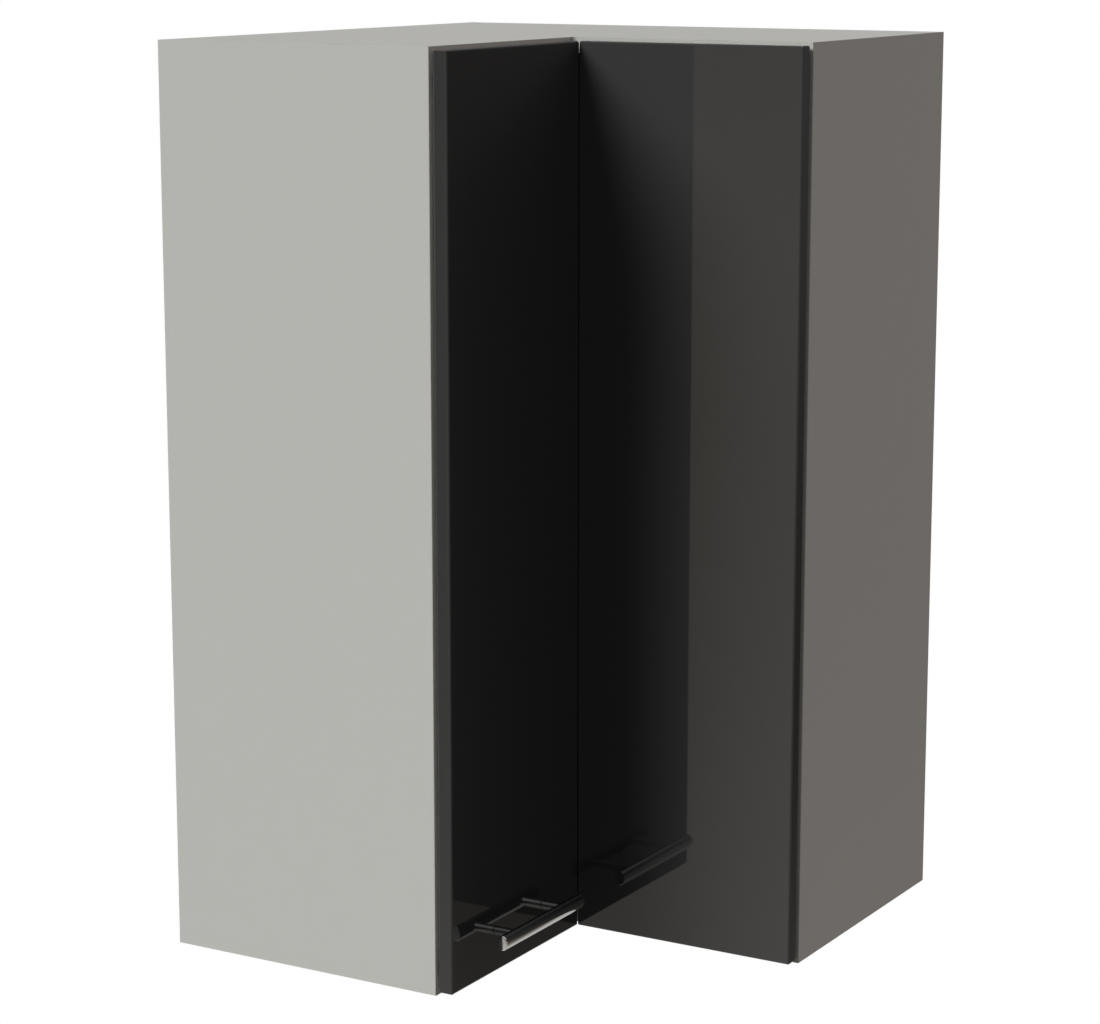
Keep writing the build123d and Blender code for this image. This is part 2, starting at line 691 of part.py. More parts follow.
with BuildPart() as handle_screws:
    for y in foot_places:
        head = facing((back_of_door, y, handle_height), (-1, 0, 0))
        rod(head, handle_screw_head, handle_screw_head_height)
        rod(head, handle_screw_radius, -(door_thick + handle_screw_in_foot))
save(handle_screws, "handle_screws")
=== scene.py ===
# %% [markdown]
# # A corner wall cabinet with a folding pair of gloss doors
# The cabinet hangs in the corner of a room: two pale end panels, L-shaped boards between them, and two
# near-black doors that meet in the inner corner and fold away as one. The carcass, the doors, the hinge
# arms and the links come from the frame at their real size. This lesson gives them their finishes, adds
# the turned and pressed pieces that want smooth surfaces, and lights them like a catalogue picture.

# %% Load the frame
from math import pi, radians

import bpy
import numpy as np
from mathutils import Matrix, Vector


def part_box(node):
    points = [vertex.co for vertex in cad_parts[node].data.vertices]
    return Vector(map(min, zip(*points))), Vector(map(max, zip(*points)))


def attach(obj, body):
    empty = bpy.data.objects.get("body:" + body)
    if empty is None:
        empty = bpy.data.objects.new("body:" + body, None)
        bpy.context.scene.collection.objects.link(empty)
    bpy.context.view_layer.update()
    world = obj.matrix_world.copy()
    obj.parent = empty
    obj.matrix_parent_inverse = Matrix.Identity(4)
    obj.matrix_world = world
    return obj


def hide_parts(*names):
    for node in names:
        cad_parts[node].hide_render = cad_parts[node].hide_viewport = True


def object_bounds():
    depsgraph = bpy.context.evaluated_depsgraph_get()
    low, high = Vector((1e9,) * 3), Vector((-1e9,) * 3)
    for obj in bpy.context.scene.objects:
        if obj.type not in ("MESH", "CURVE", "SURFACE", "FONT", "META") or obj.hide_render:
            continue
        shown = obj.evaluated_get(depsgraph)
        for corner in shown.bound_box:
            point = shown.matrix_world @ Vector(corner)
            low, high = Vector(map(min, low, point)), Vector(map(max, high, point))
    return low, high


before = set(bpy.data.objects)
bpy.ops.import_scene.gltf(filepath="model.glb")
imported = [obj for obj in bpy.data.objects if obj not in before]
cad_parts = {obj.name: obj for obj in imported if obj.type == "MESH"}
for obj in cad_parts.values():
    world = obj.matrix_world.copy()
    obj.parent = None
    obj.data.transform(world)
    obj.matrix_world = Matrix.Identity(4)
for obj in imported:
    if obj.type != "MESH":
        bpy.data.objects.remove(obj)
solid_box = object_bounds()
scene = bpy.context.scene
scene.view_settings.view_transform = "Standard"
print("nodes in the frame:", len(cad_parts))
print("size in metres:", [round(v, 3) for v in solid_box[1] - solid_box[0]])

# %% [markdown]
# ## The camera
# The picture is taken from the right of the left end panel, with a long lens from about three and a half
# metres, so the cabinet's upright edges stay nearly parallel. A long lens far away is better than a wide
# one nearby: it keeps the proportions that a furniture catalogue shows.

# %% Camera
CAMERA_PLACE = Vector((1.904, -3.059, 1.076))   # metres from the room's corner
CAMERA_TURN = 30.43                             # degrees to the left of straight ahead
CAMERA_TILT = 11.13                             # degrees down
LENS = 98.9                                     # millimetres
SENSOR_WIDTH = 36                               # millimetres

camera_data = bpy.data.cameras.new("catalogue_camera")
camera_data.sensor_width = SENSOR_WIDTH
camera_data.lens = LENS
camera = bpy.data.objects.new("catalogue_camera", camera_data)
camera.location = CAMERA_PLACE
camera.rotation_euler = (radians(90 - CAMERA_TILT), 0, radians(CAMERA_TURN))
scene.collection.objects.link(camera)
scene.camera = camera
middle = Vector((solid_box[0] + solid_box[1]) / 2)
print("camera distance:", round((CAMERA_PLACE - middle).length, 2), "m")

# %% [markdown]
# ## Small helpers for node trees
# Every finish, and the studio itself, is a small tree of nodes. These helpers make the nodes that come back
# again and again: a sum, a blend of two colours, a noise, the parts of a vector and an empty node group.


# %% Helpers for node trees
def calc(tree, operation, first, second=None):
    """A Math node in a tree. first and second are sockets or numbers."""
    node = tree.nodes.new("ShaderNodeMath")
    node.operation = operation
    for slot, value in enumerate((first, second)):
        if isinstance(value, (int, float)):
            node.inputs[slot].default_value = value
        elif value is not None:
            tree.links.new(value, node.inputs[slot])
    return node.outputs[0]


def mix_colour(tree, factor, first, second):
    """A colour mix in a tree. Each of the three is a socket or a value."""
    node = tree.nodes.new("ShaderNodeMix")
    node.data_type = "RGBA"
    for slot, value in ((0, factor), (6, first), (7, second)):
        if isinstance(value, bpy.types.NodeSocket):
            tree.links.new(value, node.inputs[slot])
        elif isinstance(value, (int, float)):
            node.inputs[slot].default_value = value
        else:
            node.inputs[slot].default_value = (*value, 1)
    return node.outputs[2]


def noise(tree, coordinates, scale, detail=3.0):
    """Noise from 0 to 1 about 0.5, at a scale in waves per metre."""
    node = tree.nodes.new("ShaderNodeTexNoise")
    node.inputs["Detail"].default_value = detail
    tree.links.new(coordinates, node.inputs["Vector"])
    if isinstance(scale, bpy.types.NodeSocket):
        tree.links.new(scale, node.inputs["Scale"])
    else:
        node.inputs["Scale"].default_value = scale
    return node.outputs["Fac"]


def split_axes(tree, vector):
    """The X, Y and Z of a vector, as a node's named outputs."""
    node = tree.nodes.new("ShaderNodeSeparateXYZ")
    tree.links.new(vector, node.inputs[0])
    return node.outputs


def new_group(name, inputs, outputs):
    """An empty shader node group with named sockets, and its input and output nodes."""
    group = bpy.data.node_groups.new(name, "ShaderNodeTree")
    for label, kind, value in inputs:
        socket = group.interface.new_socket(label, in_out="INPUT", socket_type=kind)
        if value is not None:
            socket.default_value = value
    for label, kind in outputs:
        group.interface.new_socket(label, in_out="OUTPUT", socket_type=kind)
    return group, group.nodes.new("NodeGroupInput"), group.nodes.new("NodeGroupOutput")


# %% [markdown]
# ## The studio
# Gloss doors show what stands round them, so the studio is built from two things: an even fill that lights
# every side a little, and a surround that only mirror rays see. The surround is pale above and below, with
# a darker belt between, so that metal gets its contrast. Two plain screens stand in it: a warm one beside
# the camera, paler towards the floor, and a dark brown one behind the corner.

# %% Tones of the studio
WHITE = (1.0, 1.0, 1.0)
BLACK = (0.0, 0.0, 0.0)
FILL = (0.150, 0.146, 0.145)
STUDIO = (              # sine of the angle above the horizon, and the tone that a mirror sees there
    (-1.000, (0.90, 0.89, 0.87)),
    (-0.500, (0.65, 0.64, 0.62)),
    (-0.300, (0.38, 0.37, 0.36)),
    (-0.030, (0.38, 0.37, 0.36)),
    (0.030, (0.20, 0.20, 0.21)),
    (0.350, (0.06, 0.06, 0.065)),
    (0.700, (0.92, 0.92, 0.93)),
)
FRONT = (
    (-0.450, (0.80, 0.76, 0.72)),
    (-0.150, (0.50, 0.42, 0.35)),
    (0.050, (0.20, 0.20, 0.21)),
)
REAR = (
    (-0.450, (0.30, 0.28, 0.26)),
    (-0.250, (0.06, 0.05, 0.04)),
    (0.050, (0.20, 0.20, 0.21)),
)
FRONT_SCREEN = (-0.60, -0.40)   # X of a direction at the two sides of a screen
REAR_SCREEN = (0.38, 0.60)
SCREEN_SOFT = 0.07              # how far its sides fade out
FRONT_SHADE = (-0.53, -0.48)    # X where the front screen's bright part starts and is full
SHADE_SHARE = 0.12              # share of its tone that is left outside the bright part

print("tones for the mirrors:", len(STUDIO) + len(FRONT) + len(REAR))


# %% Helpers for the world
def background(tree, colour):
    """A background of one colour, or of a socket's colour."""
    node = tree.nodes.new("ShaderNodeBackground")
    if isinstance(colour, bpy.types.NodeSocket):
        tree.links.new(colour, node.inputs["Color"])
    else:
        node.inputs["Color"].default_value = (*colour, 1)
    return node.outputs[0]


def choose(tree, factor, first, second):
    """The first shader where the factor is 0 and the second where it is 1."""
    node = tree.nodes.new("ShaderNodeMixShader")
    for slot, socket in enumerate((factor, first, second)):
        tree.links.new(socket, node.inputs[slot])
    return node.outputs[0]


def tones_by_height(tree, tones, share):
    """A colour that eases from tone to tone. share goes from 0 straight down to 1 straight up."""
    node = tree.nodes.new("ShaderNodeValToRGB")
    node.color_ramp.interpolation = "EASE"
    stops = node.color_ramp.elements
    for index, (height, tone) in enumerate(tones):
        position = (height + 1) / 2
        stop = stops[index] if index < 2 else stops.new(position)
        stop.position = position
        stop.color = (*tone, 1)
    tree.links.new(share, node.inputs["Fac"])
    return node.outputs["Color"]


def ease(tree, value, across, result):
    """A value brought softly from one range to another and kept inside it."""
    node = tree.nodes.new("ShaderNodeMapRange")
    node.interpolation_type = "SMOOTHSTEP"
    for label, number in zip(("From Min", "From Max", "To Min", "To Max"), across + result):
        node.inputs[label].default_value = number
    tree.links.new(value, node.inputs["Value"])
    return node.outputs[0]


def screen(tree, direction, backdrop, tones, sides, facing):
    """The backdrop, with tones between two sides in X, where facing times Y of the direction is positive."""
    left = ease(tree, direction["X"], (sides[0] - SCREEN_SOFT, sides[0]), (0, 1))
    right = ease(tree, direction["X"], (sides[1], sides[1] + SCREEN_SOFT), (1, 0))
    here = calc(tree, "GREATER_THAN", calc(tree, "MULTIPLY", direction["Y"], facing), 0.0)
    covers = calc(tree, "MULTIPLY", calc(tree, "MULTIPLY", left, right), here)
    return mix_colour(tree, covers, backdrop, tones)


# %% World
world = bpy.data.worlds.new("studio_walls")
world.use_nodes = True
scene.world = world
tree = world.node_tree
tree.nodes.clear()

direction = split_axes(tree, tree.nodes.new("ShaderNodeTexCoord").outputs["Generated"])
share = calc(tree, "ADD", calc(tree, "MULTIPLY", direction["Z"], 0.5), 0.5)
shaded = ease(tree, direction["X"], FRONT_SHADE, (1 - SHADE_SHARE, 0))
front = mix_colour(tree, shaded, tones_by_height(tree, FRONT, share), BLACK)
rear = tones_by_height(tree, REAR, share)
surround = screen(tree, direction, tones_by_height(tree, STUDIO, share), front, FRONT_SCREEN, -1)
surround = screen(tree, direction, surround, rear, REAR_SCREEN, 1)
rays = tree.nodes.new("ShaderNodeLightPath").outputs
lit = choose(tree, rays["Is Glossy Ray"], background(tree, FILL), background(tree, surround))
seen = calc(tree, "MAXIMUM", rays["Is Camera Ray"], rays["Is Transmission Ray"])
out = tree.nodes.new("ShaderNodeOutputWorld")
tree.links.new(choose(tree, seen, lit, background(tree, WHITE)), out.inputs["Surface"])
print("world:", world.name, "with", len(tree.nodes), "nodes")

# %% [markdown]
# ## The lamps
# The key is a wide, far lamp, high in front and to the left. It reaches the left end panel and the top,
# and it shines over and past the left leg onto the right door, where the leg's soft shadow grows out of
# the inner corner. A weak, warm one from the right and behind keeps the right end panel from going flat.
# Both are so far away that a side is lit evenly from top to bottom.

# %% Lamps
KEY_FROM = (-0.65, -1.0, 1.00)      # where the light comes from
KEY_WIDTH = 32                      # degrees across the lamp, which sets how soft the shadows are
KEY_LEVEL = 1.24                    # brightness that it gives a white face turned towards it
KEY_COLOUR = (0.980, 0.994, 1.0)
SIDE_FROM = (1.0, 1.30, 0.40)
SIDE_WIDTH = 30
SIDE_LEVEL = 0.200
SIDE_COLOUR = (1.0, 0.86, 0.83)
LAMP_DISTANCE = 4.0                 # only says where to find the lamp, since it lights all places alike


def far_lamp(name, toward, width, level, colour):
    """A wide lamp at a great distance. A white face turned towards it gets the brightness level."""
    data = bpy.data.lights.new(name, "SUN")
    data.angle = radians(width)
    data.energy = level * pi
    data.color = colour
    lamp = bpy.data.objects.new(name, data)
    lamp.location = Vector(toward) * LAMP_DISTANCE
    lamp.rotation_euler = Vector(toward).to_track_quat("Z", "Y").to_euler()
    lamp.visible_glossy = False
    scene.collection.objects.link(lamp)
    print(name, "from", toward, "is", width, "degrees wide")


far_lamp("key_lamp", KEY_FROM, KEY_WIDTH, KEY_LEVEL, KEY_COLOUR)
far_lamp("side_lamp", SIDE_FROM, SIDE_WIDTH, SIDE_LEVEL, SIDE_COLOUR)

# %% [markdown]
# ## The floor
# A wall cabinet hangs well above the floor, so the floor lies low. To the camera it melts into the white
# surround, and it sends no light back up: the fill alone sets the tone of the shadow sides. From below it
# is clear as glass, so that the cabinet's underside can be looked at too.

# %% Floor
FLOOR_DROP = 1.4        # from the underside of the cabinet to the floor
FLOOR_HALF = 6.0        # half the length of the floor's sides
FLOOR_COLOUR = (0.75, 0.74, 0.72)


def floor_finish():
    """Pale paint, but white to the camera, and clear from below."""
    material = bpy.data.materials.new("pale_floor")
    material.use_nodes = True
    tree = material.node_tree
    tree.nodes.clear()
    paint = tree.nodes.new("ShaderNodeBsdfDiffuse")
    paint.inputs["Color"].default_value = (*FLOOR_COLOUR, 1)
    glow = tree.nodes.new("ShaderNodeEmission")
    clear = tree.nodes.new("ShaderNodeBsdfTransparent")
    rays = tree.nodes.new("ShaderNodeLightPath").outputs
    below = tree.nodes.new("ShaderNodeNewGeometry").outputs["Backfacing"]
    upper = choose(tree, rays["Is Camera Ray"], paint.outputs[0], glow.outputs[0])
    out = tree.nodes.new("ShaderNodeOutputMaterial")
    tree.links.new(choose(tree, below, upper, clear.outputs[0]), out.inputs["Surface"])
    return material


corners = [(x * FLOOR_HALF, y * FLOOR_HALF, -FLOOR_DROP) for x, y in ((-1, -1), (1, -1), (1, 1), (-1, 1))]
floor_mesh = bpy.data.meshes.new("floor")
floor_mesh.from_pydata(corners, [], [(0, 1, 2, 3)])
floor_mesh.materials.append(floor_finish())
floor = bpy.data.objects.new("floor", floor_mesh)
floor.visible_glossy = False
floor.visible_diffuse = False
scene.collection.objects.link(floor)
print("floor lies", FLOOR_DROP, "m below the cabinet")

# %% [markdown]
# ## Shared effects
# No factory surface is quite even. One node group breaks up a colour, a roughness and a height with noise,
# and each finish places it with its own values.

# %% Group: uneven surface
FINER = 14.0            # how many times finer the second noise is than the first

uneven, uneven_in, uneven_out = new_group(
    "uneven_surface",
    [
        ("Coordinates", "NodeSocketVector", None),
        ("Color", "NodeSocketColor", (0.5, 0.5, 0.5, 1)),
        ("Roughness", "NodeSocketFloat", 0.4),
        ("Scale", "NodeSocketFloat", 40.0),
        ("Color Spread", "NodeSocketFloat", 0.02),
        ("Roughness Spread", "NodeSocketFloat", 0.05),
    ],
    [("Color", "NodeSocketColor"), ("Roughness", "NodeSocketFloat"), ("Height", "NodeSocketFloat")],
)
coarse = noise(uneven, uneven_in.outputs["Coordinates"], uneven_in.outputs["Scale"])
fine_scale = calc(uneven, "MULTIPLY", uneven_in.outputs["Scale"], FINER)
fine = noise(uneven, uneven_in.outputs["Coordinates"], fine_scale, 2.0)
both = calc(uneven, "ADD", coarse, fine)
swing = calc(uneven, "SUBTRACT", both, 1.0)
lift = calc(uneven, "MULTIPLY", swing, uneven_in.outputs["Color Spread"])
gain = calc(uneven, "ADD", lift, 1.0)
shade = uneven.nodes.new("ShaderNodeVectorMath")
shade.operation = "SCALE"
uneven.links.new(uneven_in.outputs["Color"], shade.inputs[0])
uneven.links.new(gain, shade.inputs["Scale"])
rough_lift = calc(uneven, "MULTIPLY", swing, uneven_in.outputs["Roughness Spread"])
rough = calc(uneven, "ADD", uneven_in.outputs["Roughness"], rough_lift)
uneven.links.new(shade.outputs[0], uneven_out.inputs["Color"])
uneven.links.new(rough, uneven_out.inputs["Roughness"])
uneven.links.new(fine, uneven_out.inputs["Height"])
print("group:", uneven.name, "with", len(uneven.nodes), "nodes")

# %% [markdown]
# ## What shows of the chipboard
# The faces and the front edges of a board are covered, but the chips show where nothing covers them: on
# the edges against the walls and inside the drilled holes and grooves. One group finds those places from
# the board's own box, another one draws the pressed chips, and a third finds the thin edge band.

# %% Group: bare core
SKIN = 0.0004           # metres from a board's outer faces that still count as covered

core, core_in, core_out = new_group(
    "bare_core",
    [
        ("Coordinates", "NodeSocketVector", None),
        ("Low", "NodeSocketVector", None),
        ("High", "NodeSocketVector", None),
    ],
    [("Mask", "NodeSocketFloat")],
)
point = split_axes(core, core_in.outputs["Coordinates"])
low = split_axes(core, core_in.outputs["Low"])
high = split_axes(core, core_in.outputs["High"])
inside = None
for axis in "XYZ":
    above = calc(core, "GREATER_THAN", calc(core, "SUBTRACT", point[axis], low[axis]), SKIN)
    below = calc(core, "GREATER_THAN", calc(core, "SUBTRACT", high[axis], point[axis]), SKIN)
    between = calc(core, "MULTIPLY", above, below)
    inside = between if inside is None else calc(core, "MULTIPLY", inside, between)
at_left_wall = calc(core, "LESS_THAN", point["X"], SKIN)
at_right_wall = calc(core, "GREATER_THAN", point["Y"], -SKIN)
at_wall = calc(core, "MAXIMUM", at_left_wall, at_right_wall)
core.links.new(calc(core, "MAXIMUM", inside, at_wall), core_out.inputs["Mask"])
print("group:", core.name)

# %% Group: edge band
BAND = 0.0007           # thickness of the band glued on a front edge
GLUE = 0.000105         # thickness of the glue under it

banded, banded_in, banded_out = new_group(
    "edge_band",
    [("Coordinates", "NodeSocketVector", None), ("Front", "NodeSocketFloat", 0.3)],
    [("Band", "NodeSocketFloat"), ("Glue Line", "NodeSocketFloat")],
)
point = split_axes(banded, banded_in.outputs["Coordinates"])
past_x = calc(banded, "SUBTRACT", point["X"], banded_in.outputs["Front"])
past_y = calc(banded, "SUBTRACT", calc(banded, "MULTIPLY", point["Y"], -1.0), banded_in.outputs["Front"])
least = calc(banded, "MINIMUM", past_x, past_y)
in_band = calc(banded, "GREATER_THAN", least, -BAND)
in_glue = calc(banded, "GREATER_THAN", least, -(BAND + GLUE))
banded.links.new(in_band, banded_out.inputs["Band"])
banded.links.new(calc(banded, "SUBTRACT", in_glue, in_band), banded_out.inputs["Glue Line"])
print("group:", banded.name)

# %% Group: pressed chips
CHIP_DARK = (0.20, 0.125, 0.065)
CHIP_LIGHT = (0.50, 0.36, 0.22)
CHIPS_PER_METRE = 420.0

chips, chips_in, chips_out = new_group(
    "pressed_chips",
    [("Coordinates", "NodeSocketVector", None)],
    [("Color", "NodeSocketColor"), ("Height", "NodeSocketFloat")],
)
flakes = chips.nodes.new("ShaderNodeTexVoronoi")
flakes.inputs["Scale"].default_value = CHIPS_PER_METRE
chips.links.new(chips_in.outputs["Coordinates"], flakes.inputs["Vector"])
tone = chips.nodes.new("ShaderNodeSeparateColor")
chips.links.new(flakes.outputs["Color"], tone.inputs[0])
chips.links.new(mix_colour(chips, tone.outputs[0], CHIP_DARK, CHIP_LIGHT), chips_out.inputs["Color"])
chips.links.new(flakes.outputs["Distance"], chips_out.inputs["Height"])
print("group:", chips.name)


# %% A material to start from
def linear(red, green, blue):
    """A screen colour, 0 to 255 for each part, turned into the linear values that shaders use."""
    values = np.array([red, green, blue]) / 255
    return tuple(np.where(values <= 0.04045, values / 12.92, ((values + 0.055) / 1.055) ** 2.4))


def start_material(name, roughness=0.4, metallic=0.0):
    """A new material, returned as (material, tree, shader, Object coordinates)."""
    material = bpy.data.materials.new(name)
    material.use_nodes = True
    tree = material.node_tree
    shader = tree.nodes["Principled BSDF"]
    shader.inputs["Roughness"].default_value = roughness
    shader.inputs["Metallic"].default_value = metallic
    place = tree.nodes.new("ShaderNodeTexCoord")
    return material, tree, shader, place.outputs["Object"]


def put_group(tree, group, coordinates, **values):
    """Place a group in a material, with its named values."""
    node = tree.nodes.new("ShaderNodeGroup")
    node.node_tree = group
    tree.links.new(coordinates, node.inputs["Coordinates"])
    for label, value in values.items():
        socket = node.inputs[label.replace("_", " ").title()]
        if isinstance(value, bpy.types.NodeSocket):
            tree.links.new(value, socket)
        elif socket.type == "RGBA":
            socket.default_value = (*value, 1)
        else:
            socket.default_value = value
    return node


def bump(tree, shader, height, distance):
    """Raise the surface by a height, over a distance in metres."""
    node = tree.nodes.new("ShaderNodeBump")
    node.inputs["Strength"].default_value = 1.0
    node.inputs["Distance"].default_value = distance
    tree.links.new(height, node.inputs["Height"])
    tree.links.new(node.outputs[0], shader.inputs["Normal"])


def even_finish(
    name, colour, roughness, metallic=0.0, scale=40.0, spread=0.03, rough_spread=0.06, relief=0.0
):
    """A finish of one colour, broken up a little all over."""
    material, tree, shader, place = start_material(name, roughness, metallic)
    worn = put_group(
        tree, uneven, place, color=colour, roughness=roughness, scale=scale,
        color_spread=spread, roughness_spread=rough_spread,
    )
    tree.links.new(worn.outputs["Color"], shader.inputs["Base Color"])
    tree.links.new(worn.outputs["Roughness"], shader.inputs["Roughness"])
    if relief:
        bump(tree, shader, worn.outputs["Height"], relief)
    print("finish:", name)
    return material


# %% [markdown]
# ## The carcass board
# The carcass is chipboard with a light grey melamine face: satin, hard and almost even, with a grain that
# is felt more than seen. Each board gets a finish of its own, because its box tells where it is bare.

# %% Board finish
BOARD_GREY = linear(187, 186, 181)
BAND_GREY = linear(181, 180, 175)
GLUE_GREY = linear(120, 116, 108)
SATIN = 0.42                # roughness of the melamine
GRAIN = dict(color=BOARD_GREY, roughness=SATIN, scale=25.0, color_spread=0.015, roughness_spread=0.05)
GRAIN_RELIEF = 0.000015     # height of the grain, in metres
CHIP_DULLING = 0.4          # how much rougher the bare chips are than the face


def board_finish(node, front):
    """Melamine with an edge band at a front edge that stands front metres from the wall, and a bare core."""
    material, tree, shader, place = start_material(node + "_melamine", SATIN)
    face = put_group(tree, uneven, place, **GRAIN)
    raw = put_group(tree, chips, place)
    low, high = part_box(node)
    bare = put_group(tree, core, place, low=low, high=high).outputs["Mask"]
    band = put_group(tree, banded, place, front=front)
    uncovered = calc(tree, "MAXIMUM", calc(tree, "SUBTRACT", bare, band.outputs["Band"]), 0.0)
    tone = mix_colour(tree, band.outputs["Band"], face.outputs["Color"], BAND_GREY)
    tone = mix_colour(tree, band.outputs["Glue Line"], tone, GLUE_GREY)
    tone = mix_colour(tree, uncovered, tone, raw.outputs["Color"])
    tree.links.new(tone, shader.inputs["Base Color"])
    dulled = calc(tree, "MULTIPLY", uncovered, CHIP_DULLING)
    tree.links.new(calc(tree, "ADD", face.outputs["Roughness"], dulled), shader.inputs["Roughness"])
    bump(tree, shader, face.outputs["Height"], GRAIN_RELIEF)
    return material


# %% Finishes of the boards
SHELF_SETBACK = 0.020       # from the front edge of the carcass to the front edge of a shelf

CARCASS_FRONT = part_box("left_end_panel")[1].x
SHELF_FRONT = CARCASS_FRONT - SHELF_SETBACK
board_finishes = {}
for node in ("left_end_panel", "right_end_panel", "bottom_board", "top_board", "corner_post"):
    board_finishes[node] = board_finish(node, CARCASS_FRONT)
for node in ("lower_shelf", "upper_shelf"):
    board_finishes[node] = board_finish(node, SHELF_FRONT)
print("board finishes:", len(board_finishes), "fronts at", round(CARCASS_FRONT, 4), round(SHELF_FRONT, 4))

# %% [markdown]
# ## The gloss doors
# The fronts are fibreboard wrapped in a black gloss film, with a plain light grey back. The film is a dark
# mirror: where the key reaches it, its own near-black shows as a soft grey, and everywhere else it shows
# little but what it reflects. Real film is never quite flat, so a long, very shallow wave bends the
# reflections a little. A plane just inside the back of the leaf tells the film from the back.

# %% Door finish
FILM_BLACK = (0.0400, 0.0398, 0.0392)
GLOSS = 0.03            # roughness of the film
FILM = dict(color=FILM_BLACK, roughness=GLOSS, scale=6.0, color_spread=0.06, roughness_spread=0.012)
WAVES_PER_METRE = 9.0
WAVE_HEIGHT = 0.000012  # in metres
BACK_DEPTH = 0.0006     # how far the grey back wraps in from the rear face


def mix_number(tree, factor, first, second):
    """The first number where the factor is 0 and the second where it is 1. All three are sockets."""
    node = tree.nodes.new("ShaderNodeMix")
    for slot, socket in ((0, factor), (2, first), (3, second)):
        tree.links.new(socket, node.inputs[slot])
    return node.outputs[0]


def behind_plane(tree, place, axis, sign, level):
    """1 where sign * coordinate lies behind a level, else 0."""
    depth = calc(tree, "MULTIPLY", split_axes(tree, place)[axis], sign)
    return calc(tree, "LESS_THAN", depth, level + BACK_DEPTH)


def door_finish(name, axis, sign, rear):
    """Gloss film, but light grey board where sign * coordinate lies behind the rear face."""
    material, tree, shader, place = start_material(name, GLOSS)
    behind = behind_plane(tree, place, axis, sign, rear)
    film = put_group(tree, uneven, place, **FILM)
    back = put_group(tree, uneven, place, **GRAIN)
    tone = mix_colour(tree, behind, film.outputs["Color"], back.outputs["Color"])
    rough = mix_number(tree, behind, film.outputs["Roughness"], back.outputs["Roughness"])
    tree.links.new(tone, shader.inputs["Base Color"])
    tree.links.new(rough, shader.inputs["Roughness"])
    bump(tree, shader, noise(tree, place, WAVES_PER_METRE, 1.0), WAVE_HEIGHT)
    print("finish:", name)
    return material


left_door_finish = door_finish("left_door_film", "X", 1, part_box("left_door")[0].x)
right_door_finish = door_finish("right_door_film", "Y", -1, -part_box("right_door")[1].y)

# %% [markdown]
# ## Metals and small stuff
# The handle is chromed, the hinges are nickelled steel pressings, the screws are bright zinc and the cams
# are plain die-castings. The backs are thin hardboard, printed grey inside and brown towards the wall.

# %% Metals
chrome = even_finish("handle_chrome", (0.55, 0.545, 0.54), 0.09, 1.0, scale=30.0, rough_spread=0.05)
nickel = even_finish(
    "hinge_nickel", (0.58, 0.56, 0.52), 0.28, 1.0, scale=60.0, spread=0.06, rough_spread=0.12
)
zinc = even_finish("screw_zinc", (0.56, 0.56, 0.54), 0.34, 1.0, scale=90.0, spread=0.08, rough_spread=0.1)
casting = even_finish(
    "cam_casting", (0.36, 0.36, 0.35), 0.5, 1.0, scale=120.0, spread=0.15, rough_spread=0.15, relief=0.00005
)

# %% Plastics and dowels
hanger_white = even_finish("hanger_plastic", linear(226, 225, 220), 0.42, scale=50.0)
bumper_dark = even_finish("bumper_rubber", (0.03, 0.03, 0.03), 0.6, scale=50.0, spread=0.08)
beech = even_finish("dowel_beech", linear(196, 160, 112), 0.6, scale=90.0, spread=0.2)

# %% Hardboard
FIBRE_BROWN = linear(122, 88, 58)
FIBRE = dict(color=FIBRE_BROWN, roughness=0.6, scale=30.0, color_spread=0.35, roughness_spread=0.1)


def hardboard_finish(name, axis, sign, rear):
    """Printed grey towards the room and raw brown fibre towards the wall."""
    material, tree, shader, place = start_material(name, FIBRE["roughness"])
    behind = behind_plane(tree, place, axis, sign, rear)
    printed = put_group(tree, uneven, place, **GRAIN)
    fibre = put_group(tree, uneven, place, **FIBRE)
    tone = mix_colour(tree, behind, printed.outputs["Color"], fibre.outputs["Color"])
    tree.links.new(tone, shader.inputs["Base Color"])
    tree.links.new(fibre.outputs["Roughness"], shader.inputs["Roughness"])
    print("finish:", name)
    return material


left_back_finish = hardboard_finish("left_hardboard", "X", 1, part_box("left_back_panel")[0].x)
right_back_finish = hardboard_finish("right_hardboard", "Y", -1, -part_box("right_back_panel")[1].y)

# %% Which node gets which finish
FINISHES = {
    **board_finishes,
    "left_door": left_door_finish,
    "right_door": right_door_finish,
    "left_back_panel": left_back_finish,
    "right_back_panel": right_back_finish,
    "cam_housings": casting,
    "dowels": beech,
    "door_bumpers": bumper_dark,
}
BY_WORD = (
    ("screws", zinc),
    ("cam_bolts", zinc),
    ("pins", zinc),
    ("handle", chrome),
    ("hanger_hook", nickel),
    ("hanger_body", hanger_white),
    ("hinge", nickel),
)
for name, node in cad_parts.items():
    finish = FINISHES.get(name) or next(material for word, material in BY_WORD if word in name)
    node.data.materials.clear()
    node.data.materials.append(finish)
print("nodes finished:", len(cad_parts))

# %% [markdown]
# ## Surfaces from formulas
# The frame's small round pieces are drawn in flats. The pieces that are seen close up are made again here
# as smooth skins. Each skin is a table of points: one direction goes along the piece and the other one
# goes round it. Numpy works out the whole table at once, and three helpers turn it into a mesh.

# %% Helpers for skins
SHARP = radians(35)     # an edge that turns by more than this stays sharp
FACE_GAP = 0.00002      # keeps a skin from lying in the face under it


def middle_of(node):
    """The middle of a node's box."""
    low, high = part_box(node)
    return (low + high) / 2


